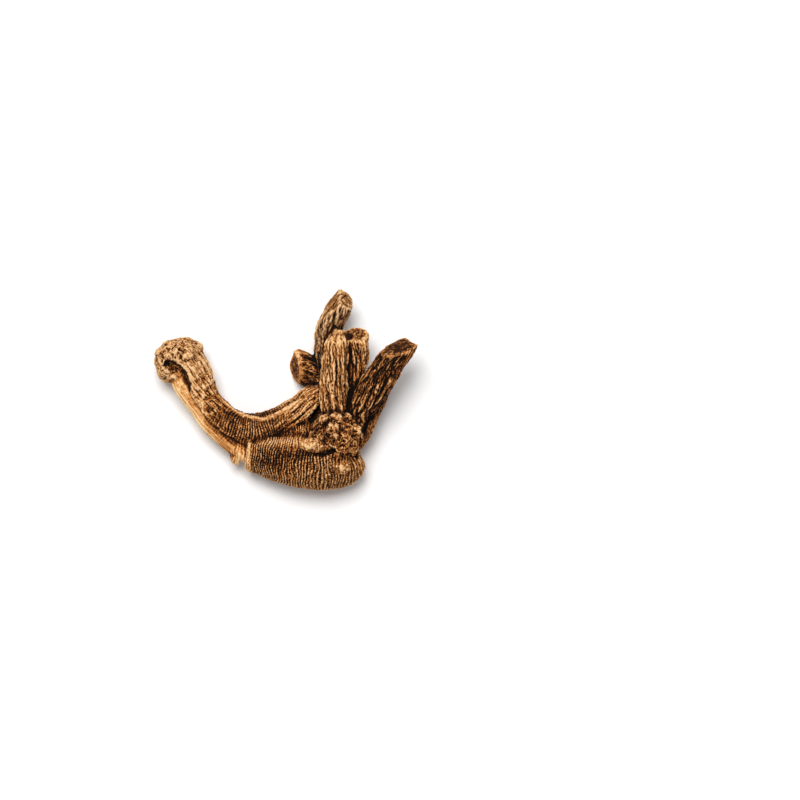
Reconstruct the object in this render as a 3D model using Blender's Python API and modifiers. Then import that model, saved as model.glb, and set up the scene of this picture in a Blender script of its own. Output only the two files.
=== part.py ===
"""A dried gentian root, as one solid that grew in one piece and lies on the ground.

A thick ringed rhizome ends in a warty crown. An arm leaves the crown, dips to the left and turns
up into a knobbly head, with the bark split off its outer side so that the wood shows. Four roots,
cut off short, and a stub grow out of the crown the other way.
"""

import itertools
import math
import random
from collections import namedtuple

import bmesh
import bpy
import numpy as np
from mathutils import Matrix, Vector
from mathutils.bvhtree import BVHTree

MM = 0.001

# Driving dimensions, in millimetres
FORM_VOXEL = 0.75
RING_PITCH = 3.2
RING_DEPTH = 1.5
FOLD_WIDTH = 3.4
FOLD_DEPTH = 1.9
FIBRE_DEPTH = 0.7
WART_DEPTH = 1.3
BARK_GAP = 1.3
FLAT_SPOT = 1.8
TRIANGLES = 11800

# How fast the skin of one limb gives way to the next, per millimetre, and how strongly the masses are warty
LIMB_FADE = 1.2
MASS_FADE = 9.0
MASS_WEIGHT = 2.5

# The skin is calm just above the flat spots and on the cut ends: heights in mm, and shares of the relief
CALM_RISE = 3.5
CALM_GROUND = 0.15
CUT_SKIN = 0.45
CALM_CUT = 0.3

# The photograph looks down at the ground a little off the vertical
GROUND_SLOPE = math.radians(10)

# Places are in the photograph's frame, in millimetres: x right, y up the picture, z towards the viewer.
# A limb's points are x, y, z and radius. Its skin mixes rings across it, folds and fibres along it and warts
Limb = namedtuple("Limb", "points rings folds fibres warts")

LIMBS = {
    "rhizome": Limb(
        [(-19, 17.2, 9.3, 7.6), (-17.5, 17, 9.3, 7.2), (-13, 16.3, 9.7, 8.9), (-6.5, 15.6, 10.2, 11),
         (6, 14.1, 11.2, 13.2), (19, 13, 11.7, 13.6), (28.5, 13.1, 10.4, 12.2), (34, 15, 10, 9.6),
         (37.5, 17, 10.2, 5.5)],
        1.0, 0.0, 0.0, 0.15),
    "arm_foot": Limb(
        [(25.5, 42.5, 4.7, 10.5), (16.5, 43, 3.1, 10), (7.5, 37, 3.6, 9.6), (-2.5, 31.8, 4.5, 9.5)],
        0.3, 0.7, 0.0, 0.1),
    "arm_bend": Limb(
        [(-2.5, 31.8, 4.5, 9.5), (-12.5, 28.8, 5.1, 9.5), (-22.5, 29.3, 5.5, 9.2), (-31.5, 33.8, 5.2, 8.7)],
        0.9, 0.1, 0.0, 0.1),
    "arm_neck": Limb(
        [(-31.5, 33.8, 5.2, 8.7), (-39, 43, 5.2, 7.4), (-44.2, 51.6, 4.4, 9), (-47.5, 59, 3.8, 10.2),
         (-50, 62.6, 3.2, 10.5)],
        0.2, 0.55, 0.0, 0.6),
    "front_root": Limb(
        [(25, 27, 15.5, 6.6), (25, 32.4, 15.6, 6), (24.8, 39, 15.5, 6.1), (24.5, 49.5, 14.6, 6.8),
         (25, 59.5, 13.9, 6.5), (26, 71.5, 12.8, 5.9), (26.8, 79.5, 12.3, 5.6)],
        0.0, 1.0, 0.0, 0.0),
    "twin_root": Limb(
        [(28, 31.2, 11.8, 4.6), (29.5, 36.5, 10.8, 4.3), (31.5, 42.6, 10.3, 4.2), (33.3, 49.7, 9.5, 4.4),
         (34.8, 57.3, 9.2, 5), (35.8, 65.3, 8.8, 5.6), (36.1, 72.1, 8.6, 5.9), (36, 81, 8.1, 5.8)],
        0.0, 0.9, 0.0, 0.0),
    "leaning_root": Limb(
        [(33, 25, 13.9, 5.4), (34.5, 31, 13.8, 4.8), (36.5, 37.4, 13.7, 5.2), (40, 43.3, 14.2, 6.8),
         (44.5, 50, 14.5, 7.8), (49, 57.5, 15.2, 7.4), (54.5, 65.5, 15.9, 7), (61, 75, 16.2, 6.8)],
        0.0, 1.0, 0.0, 0.0),
    "strand": Limb(
        [(49, 50.5, 11.4, 3.4), (48, 43.8, 10.6, 2.8), (45.5, 38.5, 10.5, 2.5), (43, 32.5, 10.7, 2.5),
         (40, 26.5, 10.7, 2.8), (35.5, 22, 10.5, 3.5)],
        0.0, 0.3, 0.0, 0.0),
    "back_root": Limb(
        [(23, 44.5, 3.3, 6.2), (21.5, 55.5, 2.4, 6), (20.5, 68.5, 1.6, 6), (22, 79.5, 2.2, 6),
         (25.4, 87.5, 3.4, 6.4), (29.8, 98, 5.1, 6.6)],
        0.0, 1.0, 0.0, 0.0),
    "stub": Limb(
        [(20.5, 52.5, 1.9, 7), (13, 58.2, -0.8, 7.8), (2, 64.5, -2.5, 8)],
        0.0, 0.4, 0.0, 0.7),
    "web": Limb(
        [(-14, 23, 8.5, 2.6), (-4, 24.5, 9.5, 4), (6, 27, 10.5, 5), (15, 29, 10.5, 5)],
        0.8, 0.0, 0.0, 0.3),
    "seam": Limb(
        [(-32, 44.3, 7.5, 1.1), (-22.5, 37.4, 10.9, 1.2), (-15, 35.3, 12, 1.3), (-11.5, 34.6, 12.4, 1.3),
         (-2.5, 38.1, 11.5, 1.2), (7.5, 44, 10.5, 1.1)],
        0.0, 0.2, 0.0, 0.0),
}

# Bare wood, where the bark has split off the outer side of the arm. It runs into the rhizome's end
WOOD = Limb(
    [(-8, 14.7, 9.6, 4), (-15, 15.8, 9.9, 4.2), (-20.5, 18, 9.4, 4.4), (-25.8, 21.6, 8.4, 4.4),
     (-31.7, 26.7, 7.4, 4.3), (-38.6, 33.3, 6.6, 4.3), (-43.8, 40.1, 5.9, 4), (-48.6, 45.8, 5.6, 3.9),
     (-52.6, 52.2, 5.6, 3.9), (-54, 58.5, 4.8, 3.6)],
    0.0, 0.0, 1.0, 0.0)

# Rounded masses: centre, half sizes
MASSES = {
    "crown": ((26, 26, 13.7), (13, 15, 12.5)),
    "head": ((-53, 63.9, 2.9), (12.6, 11.6, 11)),
    "head_lobe": ((-58.6, 60.2, 2.1), (6.2, 6.9, 7.2)),
    "head_knob": ((-50, 72.8, 1.3), (4.2, 3.2, 4.6)),
    "head_spur": ((-45.5, 70, 0.7), (4, 4.6, 5)),
    "scab": ((14.5, 21.9, 21.5), (7, 4, 5.5)),
    "low_scab": ((28, 11.5, 20.5), (5, 4.5, 4)),
    "bud": ((25.5, 33.2, 20), (3.8, 3.8, 3)),
    "twin_lip": ((33, 75.5, 11), (2.6, 3, 3)),
    "torn_end": ((-22.8, 15.6, 8.2), (4.8, 4, 4.2)),
}

# Hollows are cut along these points, which are x, y, z and radius
HOLLOWS = {
    "under_head": [(-60.5, 63.4, 11.5, 2.4), (-56.5, 61, 12, 3.4), (-52.5, 58, 11.8, 3.7),
                   (-50, 52.5, 11.4, 3.5), (-48.8, 47, 10.4, 2.6), (-46.8, 42, 9.6, 1.6)],
    "under_scab": [(14.5, 17.6, 25, 0.9), (19.5, 17.4, 24.6, 1.6), (23.5, 19, 24, 1.6), (26, 22, 23.5, 1.1)],
    "beside_crown": [(36, 28, 18, 1.5), (37.2, 20.5, 16, 2), (35.5, 15, 17, 1.4)],
    "beside_front_root": [(19, 44, 11.5, 1.5), (17.3, 40, 10.8, 2.6), (15, 36.5, 10.8, 2.6), (12.5, 33, 12.5, 1.5)],
    "rhizome_mouth": [(-23, 17.4, 9.2, 6.4), (-16, 16.8, 9.4, 5.4)],
}

# Where the roots were cut off: a point on the cut, the way that the cut faces, its width and its depth
CUTS = [
    ((26, 72.3, 18.5), (-0.05, 0.56, 0.82), 13, 9),
    ((29.3, 77.7, 12.3), (0.75, 0.57, 0.33), 9, 2.5),
    ((23.5, 76.8, 13), (-0.62, 0.72, 0.3), 11, 5),
    ((37.2, 77.7, 8.2), (0.05, 0.81, 0.58), 14, 12),
    ((58, 71.5, 16), (-0.17, 0.82, 0.53), 24, 18),
    ((31, 94.6, 4.4), (0.6, 0.56, 0.54), 20, 18),
    ((25, 95.6, 4), (-0.58, 0.55, 0.55), 20, 18),
    ((4.3, 60, -2), (-0.93, -0.12, 0.35), 20, 12),
    ((6.5, 69.6, -2), (0.1, 0.97, 0.2), 13, 8),
]

# These masses have warts in their relief, and the crown and the head also have knobs
WARTY_MASSES = ("crown", "head", "head_lobe", "scab", "low_scab")
CROWN_WARTS = 34
HEAD_WARTS = 20
SEED = 7


def noise(points, seed):
    """Smooth noise in about -1 to 1 at each row of points, with features about one unit across."""
    cell = np.floor(points)
    part = points - cell
    fade = part**3 * (part * (part * 6 - 15) + 10)
    total = np.zeros(len(points))
    for corner in itertools.product((0, 1), repeat=3):
        corner = np.array(corner)
        key = (cell + corner).astype(np.int64) @ np.array((73856093, 19349663, 83492791)) + seed * 7919
        key = (key ^ (key >> 13)) * 1274126177 & 0xFFFFFFFF
        key = (key ^ (key >> 16)) * 668265263 & 0xFFFFFFFF
        slope = np.stack([(key >> shift & 1023) / 511.5 - 1 for shift in (0, 10, 20)], axis=1)
        share = np.prod(np.where(corner == 1, fade, 1 - fade), axis=1)
        total += share * np.sum(slope * (part - corner), axis=1)
    return total * 1.3


def limb_line(points, step=1.0):
    """The centreline of a limb through its points as evenly spaced rows of x, y, z and radius."""
    knots = np.array(points, float)
    padded = np.vstack([2 * knots[0] - knots[1], knots, 2 * knots[-1] - knots[-2]])
    rows = []
    for a, b, c, d in zip(padded, padded[1:], padded[2:], padded[3:]):
        count = max(2, round(np.linalg.norm((c - b)[:3]) / step))
        for t in np.arange(count) / count:
            rows.append(b + 0.5 * t * (c - a + t * (2 * a - 5 * b + 4 * c - d + t * (3 * (b - c) + d - a))))
    return np.array(rows + [knots[-1]])


def limb_coordinates(points, limb):
    """For each point: how far along the limb it is, its place across it, and its reach past the skin."""
    line = limb_line(limb.points)
    centres, radii = line[:, :3], line[:, 3]
    along = np.concatenate([[0], np.cumsum(np.linalg.norm(np.diff(centres, axis=0), axis=1))])
    heading = np.gradient(centres, axis=0)
    heading /= np.linalg.norm(heading, axis=1)[:, None]
    side = np.array((0, 0, 1)) - heading[:, 2:3] * heading
    side /= np.linalg.norm(side, axis=1)[:, None]
    over = np.cross(heading, side)
    reach = np.linalg.norm(points[:, None] - centres, axis=2) - radii
    nearest = np.argmin(reach, axis=1)
    away = points - centres[nearest]
    return (
        along[nearest] + np.sum(away * heading[nearest], axis=1),
        np.sum(away * side[nearest], axis=1),
        np.sum(away * over[nearest], axis=1),
        reach[np.arange(len(points)), nearest],
    )


def rings(along, round_x, round_y, seed):
    """Ridges across a limb, like an accordion's, that wander and die out here and there."""
    turn = np.stack([round_x, round_y, along], axis=1)
    wave = along / RING_PITCH + 0.8 * noise(turn / 9, seed) + 0.25 * noise(turn / 3.5, seed + 1)
    height = np.abs(np.sin(math.pi * wave)) ** 0.8
    return height * np.clip(0.75 + 0.6 * noise(turn / 7, seed + 2), 0.3, 1)


def folds(along, round_x, round_y, seed):
    """Rounded ridges along a limb with sharp creases between them, slightly twisted."""
    radius = np.hypot(round_x, round_y) + 1e-9
    angle = np.arctan2(round_y, round_x) + along * 0.02
    turn = np.stack([np.cos(angle) * radius, np.sin(angle) * radius, along * 0.16], axis=1)
    broad = np.abs(noise(turn / FOLD_WIDTH, seed))
    fine = np.abs(noise(turn * 1.9 / FOLD_WIDTH, seed + 1))
    return np.clip(broad * 2.2, 0, 1) + 0.35 * np.clip(fine * 2.2, 0, 1)


def relief(points):
    """How far each point of the form is raised or sunk, in millimetres."""
    total = np.zeros(len(points))
    weights = np.zeros(len(points)) + 1e-9
    for number, limb in enumerate([*LIMBS.values(), WOOD]):
        along, round_x, round_y, reach = limb_coordinates(points, limb)
        weight = np.exp(-LIMB_FADE * np.clip(reach, 0, None))
        height = np.zeros(len(points))
        if limb.rings:
            height += limb.rings * RING_DEPTH * (rings(along, round_x, round_y, 10 * number) - 0.55)
        if limb.folds:
            height += limb.folds * FOLD_DEPTH * (folds(along, round_x, round_y, 10 * number + 4) - 0.65)
        if limb.fibres:
            turn = np.stack([round_x / 1.8, round_y / 1.8, along / 22], axis=1)
            height += limb.fibres * FIBRE_DEPTH * noise(turn, 10 * number + 6)
        height += limb.warts * WART_DEPTH * noise(points / 2.6, 10 * number + 8)
        total += weight * height
        weights += weight
    for name in WARTY_MASSES:
        centre, half = MASSES[name]
        apart = np.linalg.norm((points - centre) / half, axis=1)
        weight = MASS_WEIGHT * np.exp(-MASS_FADE * np.clip(apart - 0.85, 0, None))
        total += weight * WART_DEPTH * (1.3 * noise(points / 3.1, 91) + 0.7 * noise(points / 1.7, 92))
        weights += weight
    height = math.sin(GROUND_SLOPE) * points[:, 1] + math.cos(GROUND_SLOPE) * points[:, 2]
    calm = np.clip((height - FLAT_SPOT) / CALM_RISE, CALM_GROUND, 1)
    for point, facing, width, _ in CUTS:
        facing = np.array(facing) / np.linalg.norm(facing)
        away = points - point
        above = away @ facing
        aside = np.linalg.norm(away - above[:, None] * facing, axis=1)
        calm[(np.abs(above) < CUT_SKIN) & (aside < 0.6 * width)] = CALM_CUT
    return calm * total / weights


def tube(name, rows):
    """A tapering tube through rows of x, y, z and radius, as a mesh object."""
    curve = bpy.data.curves.new(name, "CURVE")
    curve.dimensions = "3D"
    curve.bevel_depth = MM
    curve.bevel_resolution = 6
    curve.resolution_u = 8
    curve.use_fill_caps = True
    spline = curve.splines.new("BEZIER")
    spline.bezier_points.add(len(rows) - 1)
    for knot, (x, y, z, radius) in zip(spline.bezier_points, rows):
        knot.co = Vector((x, y, z)) * MM
        knot.handle_left_type = knot.handle_right_type = "AUTO"
        knot.radius = radius
    guide = bpy.data.objects.new(name, curve)
    bpy.context.scene.collection.objects.link(guide)
    bpy.context.view_layer.update()
    mesh = bpy.data.meshes.new_from_object(guide.evaluated_get(bpy.context.evaluated_depsgraph_get()))
    bpy.data.objects.remove(guide)
    weld(mesh)
    return mesh


def weld(mesh):
    """Closes the seams where a tube's caps meet its side."""
    shell = bmesh.new()
    shell.from_mesh(mesh)
    bmesh.ops.remove_doubles(shell, verts=shell.verts, dist=0.01 * MM)
    bmesh.ops.recalc_face_normals(shell, faces=shell.faces)
    shell.to_mesh(mesh)
    shell.free()


def add_ball(shell, centre, half):
    """An ellipsoid, added to a bmesh."""
    place = Matrix.Translation(Vector(centre) * MM) @ Matrix.Diagonal((*(Vector(half) * MM), 1))
    bmesh.ops.create_uvsphere(shell, u_segments=24, v_segments=14, radius=1, matrix=place)


def wart_places():
    """Small uneven knobs, most on the crown's upper side and all round the head: centre and half sizes."""
    draw = random.Random(SEED)
    for name, count, lean_up in (("crown", CROWN_WARTS, 0.9), ("head", HEAD_WARTS, 0.1)):
        centre, half = MASSES[name]
        for _ in range(count):
            lean = Vector((draw.gauss(0, 1), draw.gauss(0.1, 0.9), draw.gauss(lean_up, 1))).normalized()
            size = draw.uniform(1.2, 2.6)
            knob = [size * draw.uniform(0.6, 1.5) for _ in range(3)]
            yield [c + h * 0.95 * d for c, h, d in zip(centre, half, lean)], knob


def add_modifier(obj, kind, **settings):
    made = obj.modifiers.new(kind.title(), kind)
    for key, value in settings.items():
        setattr(made, key, value)


def apply_modifiers(obj):
    bpy.context.view_layer.update()
    graph = bpy.context.evaluated_depsgraph_get()
    mesh = bpy.data.meshes.new_from_object(obj.evaluated_get(graph))
    obj.modifiers.clear()
    obj.data = mesh


def take_away(root, cutter):
    """Cuts one solid out of the root, and then removes the cutter."""
    bpy.context.scene.collection.objects.link(cutter)
    add_modifier(root, "BOOLEAN", operation="DIFFERENCE", object=cutter)
    apply_modifiers(root)
    bpy.data.objects.remove(cutter)


def cut_ends(root):
    """Cuts each standing root off with the side of a box."""
    for point, facing, width, depth in CUTS:
        cutter = bpy.data.objects.new("cutter", bpy.data.meshes.new("cutter"))
        place = Matrix.Translation(Vector(point) * MM)
        turn = Vector(facing).to_track_quat("Z", "Y").to_matrix().to_4x4()
        lift = Matrix.Translation((0, 0, depth * MM / 2))
        size = Matrix.Diagonal((width * MM, width * MM, depth * MM, 1))
        shell = bmesh.new()
        bmesh.ops.create_cube(shell, size=1, matrix=place @ turn @ lift @ size)
        shell.to_mesh(cutter.data)
        shell.free()
        take_away(root, cutter)


def plain_form():
    """The whole root before its wrinkles: limbs and masses grown together, hollows cut, wood laid in."""
    shell = bmesh.new()
    for name, limb in LIMBS.items():
        shell.from_mesh(tube(name, limb.points))
    for centre, half in MASSES.values():
        add_ball(shell, centre, half)
    for centre, half in wart_places():
        add_ball(shell, centre, half)
    mesh = bpy.data.meshes.new("gentian_root")
    shell.to_mesh(mesh)
    shell.free()
    root = bpy.data.objects.new("gentian_root", mesh)
    bpy.context.scene.collection.objects.link(root)
    add_modifier(root, "REMESH", mode="VOXEL", voxel_size=FORM_VOXEL * MM)
    apply_modifiers(root)
    split = [(x, y, z, radius + BARK_GAP) for x, y, z, radius in WOOD.points[3:-1]]
    for name, rows in [*HOLLOWS.items(), ("bark_split", split)]:
        take_away(root, bpy.data.objects.new(name, tube(name, rows)))
    cut_ends(root)
    shell = bmesh.new()
    shell.from_mesh(root.data)
    shell.from_mesh(tube("wood", WOOD.points))
    shell.to_mesh(root.data)
    shell.free()
    add_modifier(root, "REMESH", mode="VOXEL", voxel_size=FORM_VOXEL * MM)
    add_modifier(root, "SMOOTH", factor=0.5, iterations=4)
    apply_modifiers(root)
    return root


def coordinates(mesh):
    flat = np.empty(len(mesh.vertices) * 3)
    mesh.vertices.foreach_get("co", flat)
    return flat.reshape(-1, 3) / MM


def set_coordinates(mesh, points):
    mesh.vertices.foreach_set("co", (points * MM).ravel())
    mesh.update()


def vertex_normals(mesh):
    flat = np.empty(len(mesh.vertices) * 3)
    mesh.vertices.foreach_get("normal", flat)
    return flat.reshape(-1, 3)


def set_down(mesh):
    """Flattens what is lowest, so that the root rests on flat spots."""
    points = coordinates(mesh)
    points[points[:, 2] < FLAT_SPOT + 0.05, 2] = FLAT_SPOT
    set_coordinates(mesh, points)


def wrinkle(root):
    """Pushes the form's skin out and in along its normals."""
    points = coordinates(root.data)
    set_coordinates(root.data, points + vertex_normals(root.data) * relief(points)[:, None])


def ease_crossings(mesh, rounds=12):
    """Smooths the few places where facets cross each other, for as many rounds as it takes."""
    for _ in range(rounds):
        shell = bmesh.new()
        shell.from_mesh(mesh)
        shell.verts.ensure_lookup_table()
        shell.faces.ensure_lookup_table()
        tree = BVHTree.FromBMesh(shell)
        tangled = set()
        for a, b in tree.overlap(tree):
            corners = {v.index for v in shell.faces[a].verts}
            if a < b and not corners & {v.index for v in shell.faces[b].verts}:
                tangled |= corners | {v.index for v in shell.faces[b].verts}
        if tangled:
            near = [shell.verts[i] for i in sorted(tangled)]
            every_way = {"use_axis_x": True, "use_axis_y": True, "use_axis_z": True}
            bmesh.ops.smooth_vert(shell, verts=near, factor=0.6, **every_way)
            shell.to_mesh(mesh)
        shell.free()
        if not tangled:
            return


def drop_crumbs(mesh):
    """Keeps the largest body alone, without the crumbs that the cuts leave."""
    shell = bmesh.new()
    shell.from_mesh(mesh)
    bodies = []
    unseen = set(shell.verts)
    while unseen:
        body = set()
        front = {unseen.pop()}
        while front:
            body |= front
            front = {edge.other_vert(vert) for vert in front for edge in vert.link_edges} - body
        unseen -= body
        bodies.append(body)
    bodies.sort(key=len)
    crumbs = [vert for body in bodies[:-1] for vert in body]
    bmesh.ops.delete(shell, geom=crumbs, context="VERTS")
    shell.to_mesh(mesh)
    shell.free()


def bark_material():
    material = bpy.data.materials.new("bark")
    material.use_nodes = True
    shader = material.node_tree.nodes["Principled BSDF"]
    shader.inputs["Base Color"].default_value = (0.30, 0.15, 0.06, 1)
    shader.inputs["Roughness"].default_value = 0.75
    shader.inputs["Metallic"].default_value = 0.0
    return material


def main():
    for obj in list(bpy.data.objects):
        bpy.data.objects.remove(obj)
    root = plain_form()
    wrinkle(root)
    root.data.transform(Matrix.Rotation(GROUND_SLOPE, 4, "X"))
    set_down(root.data)
    add_modifier(root, "TRIANGULATE")
    apply_modifiers(root)
    add_modifier(root, "DECIMATE", ratio=TRIANGLES / len(root.data.polygons))
    apply_modifiers(root)
    set_down(root.data)
    ease_crossings(root.data)
    drop_crumbs(root.data)
    low = coordinates(root.data).min(axis=0)
    high = coordinates(root.data).max(axis=0)
    middle = (low + high) / 2
    set_coordinates(root.data, coordinates(root.data) - (middle[0], middle[1], low[2]))
    root.data.materials.clear()
    root.data.materials.append(bark_material())


main()
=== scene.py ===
"""The look of the dried gentian root: its bark, its bare wood, the ground and the light."""

import itertools
import math
import random
from collections import namedtuple

import bmesh
import bpy
import numpy as np
from mathutils import Matrix, Vector


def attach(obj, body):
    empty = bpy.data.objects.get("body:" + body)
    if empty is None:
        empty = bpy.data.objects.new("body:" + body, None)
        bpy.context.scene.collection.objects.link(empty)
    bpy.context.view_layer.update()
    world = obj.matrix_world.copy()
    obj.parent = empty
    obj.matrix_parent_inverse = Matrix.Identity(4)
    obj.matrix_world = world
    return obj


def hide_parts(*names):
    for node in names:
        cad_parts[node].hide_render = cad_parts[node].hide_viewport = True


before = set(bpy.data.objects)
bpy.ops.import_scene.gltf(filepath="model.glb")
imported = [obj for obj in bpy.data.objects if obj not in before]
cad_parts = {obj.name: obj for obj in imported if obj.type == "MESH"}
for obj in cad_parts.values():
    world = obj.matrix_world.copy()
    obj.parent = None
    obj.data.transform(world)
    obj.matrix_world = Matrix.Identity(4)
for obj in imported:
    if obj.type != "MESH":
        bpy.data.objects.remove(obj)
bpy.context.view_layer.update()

MM = 0.001

# The form is the CAD's own, with a finer skin, in millimetres
FORM_VOXEL = 0.7
BARK_GAP = 1.3
FLAT_SPOT = 1.8
SKIN_TRIANGLES = 196000
ORIGIN = (-0.0827, 47.8092, 1.8)

# Rings of the bark, in millimetres. They wander, wave and jag by shares of their pitch, and are faint or
# broken in places
RING_PITCH = 3.2
RING_DEPTH = 0.4
FINE_RING_PITCH = 1.35
FINE_RING_DEPTH = 0.85
RING_ROUNDNESS = 0.8
SHARP_MEAN = 0.25
RING_WANDER = 0.6
WANDER_SIZE = 9.0
RING_WAVE = 0.3
WAVE_SIZE = 3.2
RING_JAG = 0.14
JAG_SIZE = 1.2
RING_STRENGTH = 0.75
FAINT_SIZE = 4.5
BREAK_SHARE = 0.3
BREAK_SIZE = 1.9
LEAST_RING = 0.15

# Folds and creases along a limb, in millimetres. They sway by shares of their width, and a higher stretch
# makes them shorter
FOLD_WIDTH = 3.6
FOLD_DEPTH = 1.15
FOLD_STRETCH = 0.16
CREASE_WIDTH = 1.6
CREASE_DEPTH = 0.85
CREASE_STRETCH = 0.22
FINE_WIDTH = 0.85
FINE_DEPTH = 0.45
FINE_STRETCH_FOLDED = 0.4
FINE_STRETCH_RINGED = 0.9
FOLD_TWIST = 0.02
SWAY_SIZE = 1.3
SWAY = 0.35
FOLD_GAIN = 2.2

# Fibres and finer threads of the bare wood, in millimetres
FIBRE_DEPTH = 0.85
FIBRE_WIDTH = 1.8
FIBRE_LENGTH = 22
THREAD_SHARE = 0.6
THREAD_WIDTH = 0.6
THREAD_LENGTH = 14

# Warts, knobs, curled ridges and pits, in millimetres
WART_DEPTH = 1.0
WART_SIZE = 2.6
KNOB_DEPTH = 0.8
KNOB_SIZE = 3.3
SMALL_KNOB_SIZE = 1.7
SMALL_KNOB_SHARE = 0.5
CURL_DEPTH = 0.45
CURL_SIZE = (1.9, 2.8, 1.9)
FINE_CURL_SIZE = (0.95, 1.3, 0.95)
CURL_GAIN = 2.4
PIT_DEPTH = 0.45
PIT_SIZE = 0.95
PIT_LEVEL = 0.2
BEND_SIZE = 2.5
BEND = 0.9

# How far past its skin a limb still counts, how fast one limb's skin gives way to the next, per millimetre,
# and how strongly the masses are warty
LIMB_REACH = 4.0
LIMB_FADE = 1.2
MASS_FADE = 9.0
MASS_CORE = 0.85
MASS_WEIGHT = 2.5

# Hollows deeper than this many millimetres keep the least share of the relief
HOLLOW_CALM = 0.4
HOLLOW_ROUNDS = 25
LEAST_HOLLOW = 0.3

# The skin is calm just above the flat spots and on the cut ends: heights in mm, and shares of the relief
CALM_RISE = 2.5
CALM_GROUND = 0.25
CUT_SKIN = 1.0
CUT_FADE = 0.7
CUT_REACH = 0.6
CALM_CUT = 0.45

# The photograph looks down at the ground a little off the vertical
GROUND_SLOPE = math.radians(10)

# Places are in the photograph's frame, in millimetres: x right, y up the picture, z towards the viewer.
# A limb's points are x, y, z and radius. Its skin mixes rings across it, folds and fibres along it and warts
Limb = namedtuple("Limb", "points rings folds fibres warts")

LIMBS = {
    "rhizome": Limb(
        [(-19, 17.2, 9.3, 7.6), (-17.5, 17, 9.3, 7.2), (-13, 16.3, 9.7, 8.9), (-6.5, 15.6, 10.2, 11),
         (6, 14.1, 11.2, 13.2), (19, 13, 11.7, 13.6), (28.5, 13.1, 10.4, 12.2), (34, 15, 10, 9.6),
         (37.5, 17, 10.2, 5.5)],
        1.0, 0.0, 0.0, 0.15),
    "arm_foot": Limb(
        [(25.5, 42.5, 4.7, 10.5), (16.5, 43, 3.1, 10), (7.5, 37, 3.6, 9.6), (-2.5, 31.8, 4.5, 9.5)],
        0.3, 0.7, 0.0, 0.1),
    "arm_bend": Limb(
        [(-2.5, 31.8, 4.5, 9.5), (-12.5, 28.8, 5.1, 9.5), (-22.5, 29.3, 5.5, 9.2), (-31.5, 33.8, 5.2, 8.7)],
        0.9, 0.1, 0.0, 0.1),
    "arm_neck": Limb(
        [(-31.5, 33.8, 5.2, 8.7), (-39, 43, 5.2, 7.4), (-44.2, 51.6, 4.4, 9), (-47.5, 59, 3.8, 10.2),
         (-50, 62.6, 3.2, 10.5)],
        0.2, 0.55, 0.0, 0.6),
    "front_root": Limb(
        [(25, 27, 15.5, 6.6), (25, 32.4, 15.6, 6), (24.8, 39, 15.5, 6.1), (24.5, 49.5, 14.6, 6.8),
         (25, 59.5, 13.9, 6.5), (26, 71.5, 12.8, 5.9), (26.8, 79.5, 12.3, 5.6)],
        0.0, 1.0, 0.0, 0.0),
    "twin_root": Limb(
        [(28, 31.2, 11.8, 4.6), (29.5, 36.5, 10.8, 4.3), (31.5, 42.6, 10.3, 4.2), (33.3, 49.7, 9.5, 4.4),
         (34.8, 57.3, 9.2, 5), (35.8, 65.3, 8.8, 5.6), (36.1, 72.1, 8.6, 5.9), (36, 81, 8.1, 5.8)],
        0.0, 0.9, 0.0, 0.0),
    "leaning_root": Limb(
        [(33, 25, 13.9, 5.4), (34.5, 31, 13.8, 4.8), (36.5, 37.4, 13.7, 5.2), (40, 43.3, 14.2, 6.8),
         (44.5, 50, 14.5, 7.8), (49, 57.5, 15.2, 7.4), (54.5, 65.5, 15.9, 7), (61, 75, 16.2, 6.8)],
        0.0, 1.0, 0.0, 0.0),
    "strand": Limb(
        [(49, 50.5, 11.4, 3.4), (48, 43.8, 10.6, 2.8), (45.5, 38.5, 10.5, 2.5), (43, 32.5, 10.7, 2.5),
         (40, 26.5, 10.7, 2.8), (35.5, 22, 10.5, 3.5)],
        0.0, 0.3, 0.0, 0.0),
    "back_root": Limb(
        [(23, 44.5, 3.3, 6.2), (21.5, 55.5, 2.4, 6), (20.5, 68.5, 1.6, 6), (22, 79.5, 2.2, 6),
         (25.4, 87.5, 3.4, 6.4), (29.8, 98, 5.1, 6.6)],
        0.0, 1.0, 0.0, 0.0),
    "stub": Limb(
        [(20.5, 52.5, 1.9, 7), (13, 58.2, -0.8, 7.8), (2, 64.5, -2.5, 8)],
        0.0, 0.4, 0.0, 0.7),
    "web": Limb(
        [(-14, 23, 8.5, 2.6), (-4, 24.5, 9.5, 4), (6, 27, 10.5, 5), (15, 29, 10.5, 5)],
        0.8, 0.0, 0.0, 0.3),
    "seam": Limb(
        [(-32, 44.3, 7.5, 1.1), (-22.5, 37.4, 10.9, 1.2), (-15, 35.3, 12, 1.3), (-11.5, 34.6, 12.4, 1.3),
         (-2.5, 38.1, 11.5, 1.2), (7.5, 44, 10.5, 1.1)],
        0.0, 0.2, 0.0, 0.0),
}

# Bare wood, where the bark has split off the outer side of the arm. It runs into the rhizome's end
WOOD = Limb(
    [(-8, 14.7, 9.6, 4), (-15, 15.8, 9.9, 4.2), (-20.5, 18, 9.4, 4.4), (-25.8, 21.6, 8.4, 4.4),
     (-31.7, 26.7, 7.4, 4.3), (-38.6, 33.3, 6.6, 4.3), (-43.8, 40.1, 5.9, 4), (-48.6, 45.8, 5.6, 3.9),
     (-52.6, 52.2, 5.6, 3.9), (-54, 58.5, 4.8, 3.6)],
    0.0, 0.0, 1.0, 0.0)

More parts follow.
